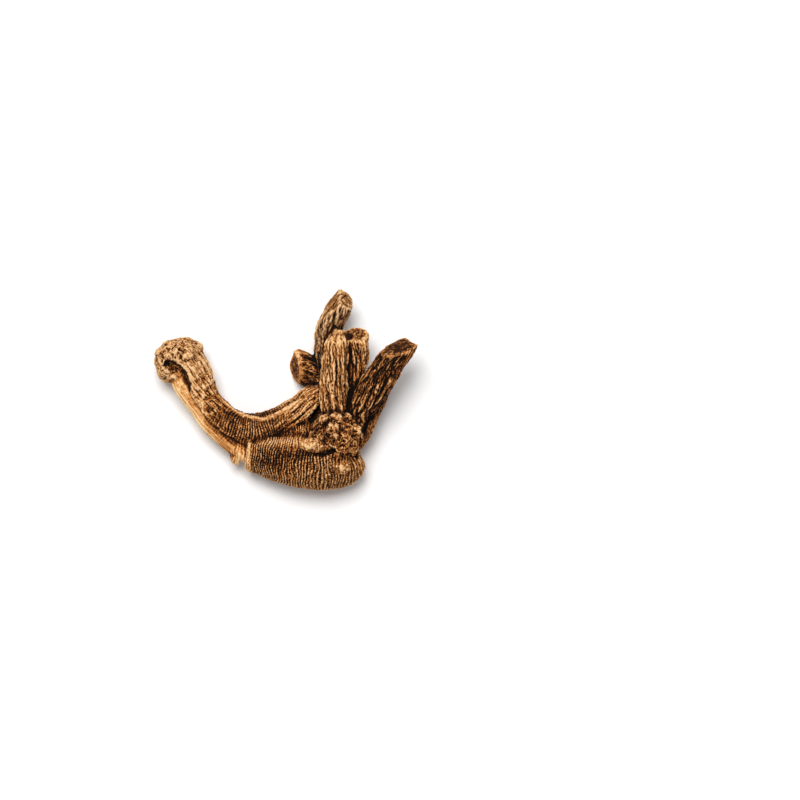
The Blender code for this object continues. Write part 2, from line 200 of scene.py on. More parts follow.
# Rounded masses: centre, half sizes
MASSES = {
    "crown": ((26, 26, 13.7), (13, 15, 12.5)),
    "head": ((-53, 63.9, 2.9), (12.6, 11.6, 11)),
    "head_lobe": ((-58.6, 60.2, 2.1), (6.2, 6.9, 7.2)),
    "head_knob": ((-50, 72.8, 1.3), (4.2, 3.2, 4.6)),
    "head_spur": ((-45.5, 70, 0.7), (4, 4.6, 5)),
    "scab": ((14.5, 21.9, 21.5), (7, 4, 5.5)),
    "low_scab": ((28, 11.5, 20.5), (5, 4.5, 4)),
    "bud": ((25.5, 33.2, 20), (3.8, 3.8, 3)),
    "twin_lip": ((33, 75.5, 11), (2.6, 3, 3)),
    "torn_end": ((-22.8, 15.6, 8.2), (4.8, 4, 4.2)),
}

# Hollows are cut along these points, which are x, y, z and radius
HOLLOWS = {
    "under_head": [(-60.5, 63.4, 11.5, 2.4), (-56.5, 61, 12, 3.4), (-52.5, 58, 11.8, 3.7),
                   (-50, 52.5, 11.4, 3.5), (-48.8, 47, 10.4, 2.6), (-46.8, 42, 9.6, 1.6)],
    "under_scab": [(14.5, 17.6, 25, 0.9), (19.5, 17.4, 24.6, 1.6), (23.5, 19, 24, 1.6), (26, 22, 23.5, 1.1)],
    "beside_crown": [(36, 28, 18, 1.5), (37.2, 20.5, 16, 2), (35.5, 15, 17, 1.4)],
    "beside_front_root": [(19, 44, 11.5, 1.5), (17.3, 40, 10.8, 2.6), (15, 36.5, 10.8, 2.6),
                          (12.5, 33, 12.5, 1.5)],
    "rhizome_mouth": [(-23, 17.4, 9.2, 6.4), (-16, 16.8, 9.4, 5.4)],
}

# Where the roots were cut off: a point on the cut, the way that the cut faces, its width and its depth
CUTS = [
    ((26, 72.3, 18.5), (-0.05, 0.56, 0.82), 13, 9),
    ((29.3, 77.7, 12.3), (0.75, 0.57, 0.33), 9, 2.5),
    ((23.5, 76.8, 13), (-0.62, 0.72, 0.3), 11, 5),
    ((37.2, 77.7, 8.2), (0.05, 0.81, 0.58), 14, 12),
    ((58, 71.5, 16), (-0.17, 0.82, 0.53), 24, 18),
    ((31, 94.6, 4.4), (0.6, 0.56, 0.54), 20, 18),
    ((25, 95.6, 4), (-0.58, 0.55, 0.55), 20, 18),
    ((4.3, 60, -2), (-0.93, -0.12, 0.35), 20, 12),
    ((6.5, 69.6, -2), (0.1, 0.97, 0.2), 13, 8),
]

# These masses have warts in their relief, and the crown and the head also have knobs
WARTY_MASSES = ("crown", "head", "head_lobe", "scab", "low_scab")
CROWN_WARTS = 34
HEAD_WARTS = 20
SEED = 7

# Which smoothings the crests are measured against: rounds and share
# The crests set the colour: creases and hollows darker, partly the bark's own colour and partly painted
# shade; ridges paler, partly painted highlight
CREST_SCALES = ((2, 0.42), (14, 0.42), (100, 0.36))
CREST_SPREAD = 2
CREST_LIMIT = 1.4

# Torn, paler places, how softly each ends, and how pale the cut ends are
TORN_MASSES = {"scab": 0.25, "low_scab": 0.9, "torn_end": 0.3}
TORN_REACH = 1.12
TORN_RAGGED = 0.12
CUT_PALE = 0.35

# Where bare wood ends, with ragged edges and a pale rim beside it, in millimetres past the wood's skin and
# along x
RAGGED = 0.5
RAGGED_SIZE = 1.6
WOOD_REACH = 1.2
WOOD_FADE = 0.5
WOOD_END = 24
WOOD_END_FADE = 3
WOOD_RIM = 1.7
WOOD_RIM_WIDTH = 0.45
WOOD_RIM_END = -16

# Where the back root is grey, in millimetres past its skin and along it, and how far round the head the bark
# is porous
GREY_REACH = 1.5
GREY_START = 12
GREY_FADE = 8
POROUS_REACH = 1.5
POROUS_FADE = 0.4

# Lighter and darker limbs, as shares of the way from the creases to the ridges
TONES = {
    "rhizome": -0.07, "arm_foot": 0.04, "arm_bend": -0.16, "arm_neck": 0.13, "front_root": -0.02,
    "twin_root": -0.11, "leaning_root": -0.34, "strand": -0.22, "back_root": -0.09, "stub": -0.20,
    "crown": -0.12, "head": -0.01, "web": -0.12,
}
TONE_FADE = 1.5

# The same for the seam, the bare wood and the cut ends, and painted light on the rhizome's upper rim, which
# faces the light
SEAM_TONE = 0.22
SEAM_FADE = 2.5
WOOD_TONE = 0.15
CUT_TONE = -0.07
RIM_PAINTED_LIGHT = 0.28
RIM_PLACE = 24.0
RIM_WIDTH = 3.4
RIM_END = 16.0

# Softly lighter and darker places: centre, half sizes and by how much. Some are the bark's own colour, and
# some are painted shade, as marked
SHADES = {
    # Painted shade over the rhizome's middle and lower side, which faces away from the light
    "rhizome_middle_painted_shade": ((-3, 16, 20), (17, 6.5, 15), -0.30),
    # Painted shade on the arm's back side, between its upper edge and the seam
    "above_seam_painted_shade": ((-14, 38.5, 8), (15, 3, 6), -0.14),
    "bend_side": ((-34, 36, 12), (7, 9, 10), -0.08),
    # Painted shade in the crevice between the bark's edge and the bare wood, in this entry and the next
    "beside_wood_painted_shade": ((-21, 24, 12), (6, 5, 8), -0.10),
    "wood_foot_painted_shade": ((-23, 20, 12), (5, 4, 6), -0.08),
    "torn_fibres": ((-20.5, 14, 12), (3.5, 5, 8), 0.30),
    "wood_head": ((-52, 50, 9), (5, 8, 8), -0.18),
    "leaning_foot": ((38, 40, 17), (5, 9, 6), 0.16),
}
SHADE_REACH = 1.4

# The bark's pale broken lip at the rhizome's end: its place along x, its half width, its rise and how far
# past the rhizome it goes, in millimetres, and how pale it is
LIP_PLACE = -17.6
LIP_WIDTH = 1.3
LIP_RISE = 0.8
LIP_REACH = 2
LIP_RAGGED = 0.45
LIP_PALE = 0.9

# The bark's edge on the arm, beyond which the neck is bare: its corner, the slope of its upper side, its half
# width, its rise, its lowest place and how it wanders, in millimetres, and how pale it is
FLAP_CORNER = (-41.0, 50.0)
FLAP_SLOPE = 0.8
FLAP_WIDTH = 0.9
FLAP_RISE = 0.3
FLAP_FOOT = 33.0
FLAP_RAGGED = 0.9
FLAP_RAGGED_SIZE = 2.4
FLAP_PALE = 0.5

# The bark inside that edge is darker than the bare neck, as far as this place along x
FLAP_TONE = 0.12
FLAP_END = -24.0

# The grain's scale across and along a ringed limb and a folded one, and how far apart the limbs' grains lie
RINGED_GRAIN = (0.25, 1.0)
FOLDED_GRAIN = (1.0, 0.2)
GRAIN_APART = 40

# How much crests, specks and patches move a point's tone away from the middle
MIDDLE_TONE = 0.475
CREST_SHARE = 0.68
SPECK_SHARE = 0.45
PATCH_SHARE = 0.28

# Noise sizes: specks and bumps per millimetre along the grain, blotches and patches per metre in space
GRAIN_SCALE = 1.1
BUMP_SCALE = 1.87
BLOTCH_SCALE = 55.0
PATCH_SCALE = 330.0

# Warm blotches fade in between these levels of their noise, and grey and porous bark cover this much
BLOTCH_LEVELS = (0.42, 0.6)
GREY_SHARE = 0.7
POROUS_SHARE = 0.8

# The shine and the smallest bumps, whose height is in metres
ROUGHNESS = 0.82
SPECULAR = 0.1
BUMP_STRENGTH = 0.55
BUMP_HEIGHT = 0.0004

# Colours from the creases up to the ridges. The near black of the creases is partly painted shade, and the
# palest ridges partly painted highlight
BARK_COLOURS = [
    (0.10, (0.004, 0.0012, 0.0003)), (0.27, (0.018, 0.0054, 0.0012)), (0.41, (0.088, 0.027, 0.0056)),
    (0.54, (0.215, 0.073, 0.0160)), (0.68, (0.38, 0.145, 0.039)), (0.84, (0.61, 0.290, 0.100)),
    (1.0, (0.83, 0.52, 0.26))]
WARM_COLOURS = [
    (0.10, (0.005, 0.0014, 0.0003)), (0.27, (0.030, 0.0080, 0.0016)), (0.41, (0.138, 0.039, 0.0070)),
    (0.54, (0.30, 0.097, 0.0190)), (0.68, (0.47, 0.180, 0.044)), (0.84, (0.67, 0.320, 0.105)),
    (1.0, (0.84, 0.53, 0.26))]
GREY_COLOURS = [
    (0.10, (0.006, 0.0028, 0.0010)), (0.27, (0.024, 0.0105, 0.0040)), (0.42, (0.088, 0.040, 0.016)),
    (0.56, (0.19, 0.093, 0.039)), (0.72, (0.35, 0.190, 0.088)), (0.92, (0.62, 0.39, 0.21))]
POROUS_COLOURS = [
    (0.10, (0.008, 0.0026, 0.0007)), (0.28, (0.045, 0.0145, 0.0036)), (0.43, (0.175, 0.062, 0.0160)),
    (0.54, (0.35, 0.145, 0.047)), (0.70, (0.56, 0.270, 0.100)), (0.90, (0.82, 0.52, 0.26))]
TORN_COLOURS = [
    (0.10, (0.06, 0.018, 0.0036)), (0.30, (0.26, 0.088, 0.019)), (0.50, (0.54, 0.215, 0.055)),
    (0.70, (0.75, 0.37, 0.120)), (0.92, (0.91, 0.64, 0.34))]
WOOD_COLOURS = [
    (0.10, (0.045, 0.012, 0.0025)), (0.30, (0.20, 0.059, 0.010)), (0.47, (0.45, 0.160, 0.035)),
    (0.64, (0.68, 0.305, 0.090)), (0.84, (0.86, 0.520, 0.22)), (1.0, (0.92, 0.66, 0.36))]

# The camera looks from far off, at a point of the photograph's frame in millimetres
CAMERA_LENS = 180
CAMERA_SENSOR = 36
CAMERA_DISTANCE = 2000
CAMERA_AIM = (57.5, 44.5, 8)

# Studio: a soft light high beyond the root, which casts its shadow towards the viewer, and a weak fill.
# A light has a place and a size in metres and a power in watts
FLOOR_SIDE = 3.0
FLOOR_COLOUR = (0.93, 0.93, 0.93, 1)
WORLD_STRENGTH = 0.42
LIGHTS = [
    ("key", (-0.40, 0.95, 3.2), 2.0, 106.0),
]


def noise(points, seed):
    """Smooth noise in about -1 to 1 at each row of points, with features about one unit across."""
    cell = np.floor(points)
    part = points - cell
    fade = part**3 * (part * (part * 6 - 15) + 10)
    total = np.zeros(len(points))
    for corner in itertools.product((0, 1), repeat=3):
        corner = np.array(corner)
        key = (cell + corner).astype(np.int64) @ np.array((73856093, 19349663, 83492791)) + seed * 7919
        key = (key ^ (key >> 13)) * 1274126177 & 0xFFFFFFFF
        key = (key ^ (key >> 16)) * 668265263 & 0xFFFFFFFF
        slope = np.stack([(key >> shift & 1023) / 511.5 - 1 for shift in (0, 10, 20)], axis=1)
        share = np.prod(np.where(corner == 1, fade, 1 - fade), axis=1)
        total += share * np.sum(slope * (part - corner), axis=1)
    return total * 1.3


def limb_line(points, step=1.0):
    """The centreline of a limb through its points as evenly spaced rows of x, y, z and radius."""
    knots = np.array(points, float)
    padded = np.vstack([2 * knots[0] - knots[1], knots, 2 * knots[-1] - knots[-2]])
    rows = []
    for a, b, c, d in zip(padded, padded[1:], padded[2:], padded[3:]):
        count = max(2, round(np.linalg.norm((c - b)[:3]) / step))
        for t in np.arange(count) / count:
            rows.append(b + 0.5 * t * (c - a + t * (2 * a - 5 * b + 4 * c - d + t * (3 * (b - c) + d - a))))
    return np.array(rows + [knots[-1]])


def limb_coordinates(points, limb):
    """For each point: how far along the limb it is, its place across it, and its reach past the skin."""
    line = limb_line(limb.points)
    centres, radii = line[:, :3], line[:, 3]
    along = np.concatenate([[0], np.cumsum(np.linalg.norm(np.diff(centres, axis=0), axis=1))])
    heading = np.gradient(centres, axis=0)
    heading /= np.linalg.norm(heading, axis=1)[:, None]
    side = np.array((0, 0, 1)) - heading[:, 2:3] * heading
    side /= np.linalg.norm(side, axis=1)[:, None]
    over = np.cross(heading, side)
    reach = np.linalg.norm(points[:, None] - centres, axis=2) - radii
    nearest = np.argmin(reach, axis=1)
    away = points - centres[nearest]
    return (
        along[nearest] + np.sum(away * heading[nearest], axis=1),
        np.sum(away * side[nearest], axis=1),
        np.sum(away * over[nearest], axis=1),
        reach[np.arange(len(points)), nearest],
    )


def warped(places, size, amount, seed):
    """Places pushed about by smooth noise, so that what is laid out on them wanders."""
    push = np.stack([noise(places / size, seed + axis) for axis in range(3)], axis=1)
    return places + amount * push


def rings(along, round_x, round_y, pitch, seed, sharp=False):
    """Ridges across a limb, rounded or sharp, that wander, fork and die out here and there."""
    turn = np.stack([round_x, round_y, along], axis=1)
    wander = RING_WANDER * noise(turn / WANDER_SIZE, seed) * RING_PITCH / pitch
    wave = along / pitch + wander
    wave = wave + RING_WAVE * noise(turn / WAVE_SIZE, seed + 1) + RING_JAG * noise(turn / JAG_SIZE, seed + 3)
    height = np.abs(np.sin(math.pi * wave)) ** RING_ROUNDNESS
    if sharp:
        height = 1 - height
    strength = RING_STRENGTH + RING_STRENGTH * noise(turn / FAINT_SIZE, seed + 2)
    strength += BREAK_SHARE * noise(turn / BREAK_SIZE, seed + 40)
    return height * np.clip(strength, LEAST_RING, 1)


def folds(along, round_x, round_y, width, stretch, seed):
    """Rounded ridges along a limb with sharp creases between them, slightly twisted."""
    radius = np.hypot(round_x, round_y) + 1e-9
    angle = np.arctan2(round_y, round_x) + along * FOLD_TWIST
    turn = np.stack([np.cos(angle) * radius, np.sin(angle) * radius, along * stretch], axis=1)
    turn = warped(turn, SWAY_SIZE * width, SWAY * width, seed + 50)
    return np.clip(np.abs(noise(turn / width, seed)) * FOLD_GAIN, 0, 1)


def limb_relief(points, along, round_x, round_y, limb, seed):
    """The skin of one limb: rings, folds, creases, fibres and warts, in millimetres."""
    height = WART_DEPTH * limb.warts * noise(points / WART_SIZE, seed + 8)
    if limb.rings:
        broad = RING_DEPTH * (rings(along, round_x, round_y, RING_PITCH, seed) - 0.5)
        fine = rings(along, round_x, round_y, FINE_RING_PITCH, seed + 20, sharp=True) - SHARP_MEAN
        height += limb.rings * (broad + FINE_RING_DEPTH * fine)
    if limb.folds:
        broad = folds(along, round_x, round_y, FOLD_WIDTH, FOLD_STRETCH, seed + 4) - 0.5
        crease = folds(along, round_x, round_y, CREASE_WIDTH, CREASE_STRETCH, seed + 5) - 0.5
        height += limb.folds * (FOLD_DEPTH * broad + CREASE_DEPTH * crease)
    if limb.fibres:
        turn = np.stack([round_x / FIBRE_WIDTH, round_y / FIBRE_WIDTH, along / FIBRE_LENGTH], axis=1)
        thread = np.stack([round_x / THREAD_WIDTH, round_y / THREAD_WIDTH, along / THREAD_LENGTH], axis=1)
        fibre = noise(turn, seed + 6) + THREAD_SHARE * noise(thread, seed + 7)
        height += limb.fibres * FIBRE_DEPTH * fibre
    else:
        stretch = FINE_STRETCH_FOLDED if limb.folds > limb.rings else FINE_STRETCH_RINGED
        height += FINE_DEPTH * (0.5 - folds(along, round_x, round_y, FINE_WIDTH, stretch, seed + 9))
    return height


def knobbly_relief(points):
    """The skin of the head and the crown: knobs, curled sharp ridges and pits, in millimetres."""
    bent = warped(points, BEND_SIZE, BEND, 96)
    knobs = noise(bent / KNOB_SIZE, 91) + SMALL_KNOB_SHARE * noise(bent / SMALL_KNOB_SIZE, 92)
    curls = 1 - np.clip(np.abs(noise(bent / CURL_SIZE, 93)) * CURL_GAIN, 0, 1)
    curls -= np.clip(np.abs(noise(bent / FINE_CURL_SIZE, 95)) * CURL_GAIN, 0, 1)
    pits = np.clip(noise(bent / PIT_SIZE, 94) - PIT_LEVEL, 0, 1)
    return KNOB_DEPTH * knobs + CURL_DEPTH * curls - PIT_DEPTH * pits


def relief(points):
    """How far each point of the form is raised or sunk, in millimetres."""
    total = np.zeros(len(points))
    weights = np.zeros(len(points)) + 1e-9
    for number, limb in enumerate([*LIMBS.values(), WOOD]):
        along, round_x, round_y, reach = limb_coordinates(points, limb)
        near = reach < LIMB_REACH
        weight = np.exp(-LIMB_FADE * np.clip(reach[near], 0, None))
        skin = limb_relief(points[near], along[near], round_x[near], round_y[near], limb, 10 * number)
        total[near] += weight * skin
        weights[near] += weight
    knobbly = knobbly_relief(points)
    for name in WARTY_MASSES:
        centre, half = MASSES[name]
        apart = np.linalg.norm((points - centre) / half, axis=1)
        weight = MASS_WEIGHT * np.exp(-MASS_FADE * np.clip(apart - MASS_CORE, 0, None))
        total += weight * knobbly
        weights += weight
    height = math.sin(GROUND_SLOPE) * points[:, 1] + math.cos(GROUND_SLOPE) * points[:, 2]
    calm = np.clip((height - FLAT_SPOT) / CALM_RISE, CALM_GROUND, 1)
    calm *= 1 - (1 - CALM_CUT) * cut_faces(points)
    return calm * (total / weights + LIP_RISE * bark_lip(points) + FLAP_RISE * flap_edge(points))


def bark_lip(points):
    """How fully each point lies on the bark's broken lip at the rhizome's end, from 0 to 1."""
    ragged = LIP_RAGGED * noise(points / RAGGED_SIZE, 301)
    lip = np.exp(-((points[:, 0] - LIP_PLACE + ragged) / LIP_WIDTH) ** 2)
    return lip * np.clip(LIP_REACH - limb_coordinates(points, LIMBS["rhizome"])[3], 0, 1)


def flap(points):
    """How far each point lies inside the bark that ends on the arm, in millimetres."""
    right = points[:, 0] - FLAP_CORNER[0]
    inside = np.minimum(right, FLAP_CORNER[1] + FLAP_SLOPE * right - points[:, 1])
    return inside + FLAP_RAGGED * noise(points / FLAP_RAGGED_SIZE, 71)


def flap_edge(points):
    """How fully each point lies on the bark's edge on the arm, from 0 to 1."""
    bare = np.clip(limb_coordinates(points, WOOD)[3] - 0.5, 0, 1)
    return np.exp(-(flap(points) / FLAP_WIDTH) ** 2) * bare * (points[:, 1] > FLAP_FOOT)


def cut_faces(points):
    """How fully each point lies on the cut end of a root, from 0 to 1."""
    found = np.zeros(len(points))
    for point, facing, width, _ in CUTS:
        facing = np.array(facing) / np.linalg.norm(facing)
        away = points - point
        above = away @ facing
        aside = np.linalg.norm(away - above[:, None] * facing, axis=1)
        share = np.clip((CUT_SKIN - np.abs(above)) / CUT_FADE, 0, 1)
        found = np.maximum(found, share * (aside < CUT_REACH * width))
    return found


def tube(name, rows):
    """A tapering tube through rows of x, y, z and radius, as a mesh."""
    curve = bpy.data.curves.new(name, "CURVE")
    curve.dimensions = "3D"
    curve.bevel_depth = MM
    curve.bevel_resolution = 6
    curve.resolution_u = 8
    curve.use_fill_caps = True
    spline = curve.splines.new("BEZIER")
    spline.bezier_points.add(len(rows) - 1)
    for knot, (x, y, z, radius) in zip(spline.bezier_points, rows):
        knot.co = Vector((x, y, z)) * MM
        knot.handle_left_type = knot.handle_right_type = "AUTO"
        knot.radius = radius
    guide = bpy.data.objects.new(name, curve)
    bpy.context.scene.collection.objects.link(guide)
    bpy.context.view_layer.update()
    mesh = bpy.data.meshes.new_from_object(guide.evaluated_get(bpy.context.evaluated_depsgraph_get()))
    bpy.data.objects.remove(guide)
    weld(mesh)
    return mesh


def weld(mesh):
    """Closes the seams where a tube's caps meet its side."""
    shell = bmesh.new()
    shell.from_mesh(mesh)
    bmesh.ops.remove_doubles(shell, verts=shell.verts, dist=0.01 * MM)
    bmesh.ops.recalc_face_normals(shell, faces=shell.faces)
    shell.to_mesh(mesh)
    shell.free()


def add_ball(shell, centre, half):
    """An ellipsoid, added to a bmesh."""
    place = Matrix.Translation(Vector(centre) * MM) @ Matrix.Diagonal((*(Vector(half) * MM), 1))
    bmesh.ops.create_uvsphere(shell, u_segments=24, v_segments=14, radius=1, matrix=place)


def wart_places():
    """Small uneven knobs, most on the crown's upper side and all round the head: centre and half sizes."""
    draw = random.Random(SEED)
    for name, count, lean_up in (("crown", CROWN_WARTS, 0.9), ("head", HEAD_WARTS, 0.1)):
        centre, half = MASSES[name]
        for _ in range(count):
            lean = Vector((draw.gauss(0, 1), draw.gauss(0.1, 0.9), draw.gauss(lean_up, 1))).normalized()
            size = draw.uniform(1.2, 2.6)
            knob = [size * draw.uniform(0.6, 1.5) for _ in range(3)]
            yield [c + h * 0.95 * d for c, h, d in zip(centre, half, lean)], knob


def add_modifier(obj, kind, **settings):
    made = obj.modifiers.new(kind.title(), kind)
    for key, value in settings.items():
        setattr(made, key, value)


def apply_modifiers(obj):
    bpy.context.view_layer.update()
    graph = bpy.context.evaluated_depsgraph_get()
    mesh = bpy.data.meshes.new_from_object(obj.evaluated_get(graph))
    obj.modifiers.clear()
    obj.data = mesh


def take_away(root, cutter):
    """Cuts one solid out of the root, and then removes the cutter."""
    bpy.context.scene.collection.objects.link(cutter)
    add_modifier(root, "BOOLEAN", operation="DIFFERENCE", object=cutter)
    apply_modifiers(root)
    bpy.data.objects.remove(cutter)


def cut_ends(root):
    """Cuts each root off with the side of a box."""
    for point, facing, width, depth in CUTS:
        cutter = bpy.data.objects.new("cutter", bpy.data.meshes.new("cutter"))
        place = Matrix.Translation(Vector(point) * MM)
        turn = Vector(facing).to_track_quat("Z", "Y").to_matrix().to_4x4()
        lift = Matrix.Translation((0, 0, depth * MM / 2))
        size = Matrix.Diagonal((width * MM, width * MM, depth * MM, 1))
        shell = bmesh.new()
        bmesh.ops.create_cube(shell, size=1, matrix=place @ turn @ lift @ size)
        shell.to_mesh(cutter.data)
        shell.free()
        take_away(root, cutter)


def plain_form(name):
    """The whole root before its wrinkles: limbs and masses grown together, hollows cut, wood laid in."""
    shell = bmesh.new()
    for limb_name, limb in LIMBS.items():
        shell.from_mesh(tube(limb_name, limb.points))
    for centre, half in MASSES.values():
        add_ball(shell, centre, half)
    for centre, half in wart_places():
        add_ball(shell, centre, half)
    mesh = bpy.data.meshes.new(name)
    shell.to_mesh(mesh)
    shell.free()
    root = bpy.data.objects.new(name, mesh)
    bpy.context.scene.collection.objects.link(root)
    add_modifier(root, "REMESH", mode="VOXEL", voxel_size=FORM_VOXEL * MM)
    apply_modifiers(root)
    split = [(x, y, z, radius + BARK_GAP) for x, y, z, radius in WOOD.points[3:-1]]
    for hollow, rows in [*HOLLOWS.items(), ("bark_split", split)]:
        take_away(root, bpy.data.objects.new(hollow, tube(hollow, rows)))
    cut_ends(root)
    shell = bmesh.new()
    shell.from_mesh(root.data)
    shell.from_mesh(tube("wood", WOOD.points))
    shell.to_mesh(root.data)
    shell.free()
    add_modifier(root, "REMESH", mode="VOXEL", voxel_size=FORM_VOXEL * MM)
    add_modifier(root, "SMOOTH", factor=0.5, iterations=4)
    apply_modifiers(root)
    return root


def coordinates(mesh):
    flat = np.empty(len(mesh.vertices) * 3)
    mesh.vertices.foreach_get("co", flat)
    return flat.reshape(-1, 3) / MM


def set_coordinates(mesh, points):
    mesh.vertices.foreach_set("co", (points * MM).ravel())
    mesh.update()


def vertex_normals(mesh):
    flat = np.empty(len(mesh.vertices) * 3)
    mesh.vertices.foreach_get("normal", flat)
    return flat.reshape(-1, 3)


def set_down(mesh):
    """Flattens what is lowest, so that the root rests on flat spots."""
    points = coordinates(mesh)
    points[points[:, 2] < FLAT_SPOT + 0.05, 2] = FLAT_SPOT
    set_coordinates(mesh, points)


def drop_crumbs(mesh):
    """Keeps the largest body alone, without the crumbs that the cuts leave."""
    shell = bmesh.new()
    shell.from_mesh(mesh)
    bodies = []
    unseen = set(shell.verts)
    while unseen:
        body = set()
        front = {unseen.pop()}
        while front:
            body |= front
            front = {edge.other_vert(vert) for vert in front for edge in vert.link_edges} - body
        unseen -= body
        bodies.append(body)
    bodies.sort(key=len)
    crumbs = [vert for body in bodies[:-1] for vert in body]
    bmesh.ops.delete(shell, geom=crumbs, context="VERTS")
    shell.to_mesh(mesh)
    shell.free()


def wrinkle(root):
    """Pushes the form's skin out and in along its normals, less so in its hollows."""
    points = coordinates(root.data)
    normals = vertex_normals(root.data)
    smooth = evened(points, edge_ends(root.data), HOLLOW_ROUNDS)
    depth = np.sum((points - smooth) * normals, axis=1)
    share = np.clip(1 + depth / HOLLOW_CALM, LEAST_HOLLOW, 1)
    set_coordinates(root.data, points + normals * (share * relief(points))[:, None])


def edge_ends(mesh):
    flat = np.empty(len(mesh.edges) * 2, int)
    mesh.edges.foreach_get("vertices", flat)
    return flat.reshape(-1, 2)


def evened(values, ends, rounds):
    """Values at the vertices, averaged with their neighbours over and over."""
    count = np.bincount(ends.ravel(), minlength=len(values))[:, None]
    for _ in range(rounds):
        total = np.empty_like(values)
        for axis in range(values.shape[1]):
            total[:, axis] = (np.bincount(ends[:, 0], values[ends[:, 1], axis], len(values))
                              + np.bincount(ends[:, 1], values[ends[:, 0], axis], len(values)))
        values = 0.4 * values + 0.6 * total / count
    return values


def crests(mesh):
    """How far each vertex stands out of its surroundings, small and large, in about -1 to 1."""
    ends = edge_ends(mesh)
    points = coordinates(mesh)
    normals = vertex_normals(mesh)
    found = np.zeros(len(points))
    smooth = points
    done = 0
    for rounds, share in CREST_SCALES:
        smooth = evened(smooth, ends, rounds - done)
        done = rounds
        height = np.sum((points - smooth) * normals, axis=1)
        found += share * np.clip(height / (CREST_SPREAD * height.std()), -CREST_LIMIT, CREST_LIMIT)
    return found


def limb_grain(points):
    """Coordinates that run along or round the limb under each point, and which points are bare wood."""
    best = np.full(len(points), np.inf)
    grain = np.zeros((len(points), 3))
    for number, limb in enumerate([*LIMBS.values(), WOOD]):
        along, round_x, round_y, reach = limb_coordinates(points, limb)
        across, length = RINGED_GRAIN if limb.rings > limb.folds else FOLDED_GRAIN
        own = np.stack([round_x * across, round_y * across, along * length + GRAIN_APART * number], axis=1)
        nearer = reach < best
        grain[nearer] = own[nearer]
        best = np.minimum(best, reach)
        if limb is WOOD:
            wood = reach
    return grain, wood


def limb_tones(points):
    """How much lighter or darker the bark is than usual, limb by limb and place by place, with painted light
    on the rhizome's upper rim and painted shade in some places.
    """
    total = np.zeros(len(points))
    weights = np.zeros(len(points)) + 1e-9
    for name, tone in TONES.items():
        if name in LIMBS:
            _, _, _, reach = limb_coordinates(points, LIMBS[name])
        else:
            centre, half = MASSES[name]
            reach = (np.linalg.norm((points - centre) / half, axis=1) - 1) * min(half)
        weight = np.exp(-TONE_FADE * np.clip(reach, 0, 20))
        total += weight * tone
        weights += weight
    # Painted light: the rhizome's upper rim is lightened as if lit from above
    rim = np.exp(-((points[:, 1] - RIM_PLACE) / RIM_WIDTH) ** 2) * (points[:, 0] < RIM_END)
    on_rhizome = np.clip(1 - limb_coordinates(points, LIMBS["rhizome"])[3], 0, 1)
    tone = total / weights + RIM_PAINTED_LIGHT * rim * on_rhizome
    seam = np.clip(limb_coordinates(points, LIMBS["seam"])[3], 0, None)
    tone += SEAM_TONE * np.exp(-SEAM_FADE * seam) + CUT_TONE * cut_faces(points)
    tone += WOOD_TONE * np.clip(1 - limb_coordinates(points, WOOD)[3], 0, 1)
    tone -= FLAP_TONE * np.clip(flap(points), 0, 1) * (points[:, 0] < FLAP_END)
    for centre, half, change in SHADES.values():
        apart = np.linalg.norm((points - centre) / half, axis=1)
        tone += change * np.clip(SHADE_REACH - apart, 0, 1)
    return tone


def torn_share(points, wood_reach, ragged):
    """How torn and pale the bark is at each point, from 0 to 1."""
    rim = np.exp(-((wood_reach - WOOD_RIM) / WOOD_RIM_WIDTH) ** 2) * (points[:, 0] < WOOD_RIM_END)
    torn = np.maximum(rim, CUT_PALE * cut_faces(points))
    torn = np.maximum(torn, LIP_PALE * bark_lip(points))
    torn = np.maximum(torn, FLAP_PALE * flap_edge(points))
    for name, fade in TORN_MASSES.items():
        centre, half = MASSES[name]
        apart = np.linalg.norm((points - centre) / half, axis=1) + TORN_RAGGED * ragged
        torn = np.maximum(torn, np.clip((TORN_REACH - apart) / fade, 0, 1))
    return torn


def grey_share(points):
    """How grey the bark is at each point, from 0 to 1, which is along the back root."""
    along, _, _, reach = limb_coordinates(points, LIMBS["back_root"])
    return np.clip(GREY_REACH - reach, 0, 1) * np.clip((along - GREY_START) / GREY_FADE, 0, 1)


def porous_share(points):
    """How porous the bark looks at each point, from 0 to 1, which is round the head."""
    centre, half = MASSES["head"]
    apart = np.linalg.norm((points - centre) / half, axis=1)
    return np.clip((POROUS_REACH - apart) / POROUS_FADE, 0, 1)


def paint(mesh):
    """Notes at each vertex what the material needs: crests, tone, grain, and where bark is bare or odd."""
    points = coordinates(mesh)
    grain, wood_reach = limb_grain(points)
    ragged = RAGGED * noise(points / RAGGED_SIZE, 301)
    on_arm = np.clip((WOOD_END - points[:, 0]) / WOOD_END_FADE, 0, 1)
    wood = np.clip(WOOD_REACH - (wood_reach + ragged) / WOOD_FADE, 0, 1) * on_arm
    notes = {
        "crest": crests(mesh), "wood": wood, "torn": torn_share(points, wood_reach, ragged),
        "grey": grey_share(points), "porous": porous_share(points) * (1 - wood), "tone": limb_tones(points),
    }
    for name, values in notes.items():
        mesh.attributes.new(name, "FLOAT", "POINT").data.foreach_set("value", values.astype(np.float32))
    note = mesh.attributes.new("grain", "FLOAT_VECTOR", "POINT")
    note.data.foreach_set("vector", grain.astype(np.float32).ravel())


def settle(mesh):
    """Moves the form from its own frame to where the CAD stands."""
    set_coordinates(mesh, coordinates(mesh) - ORIGIN)


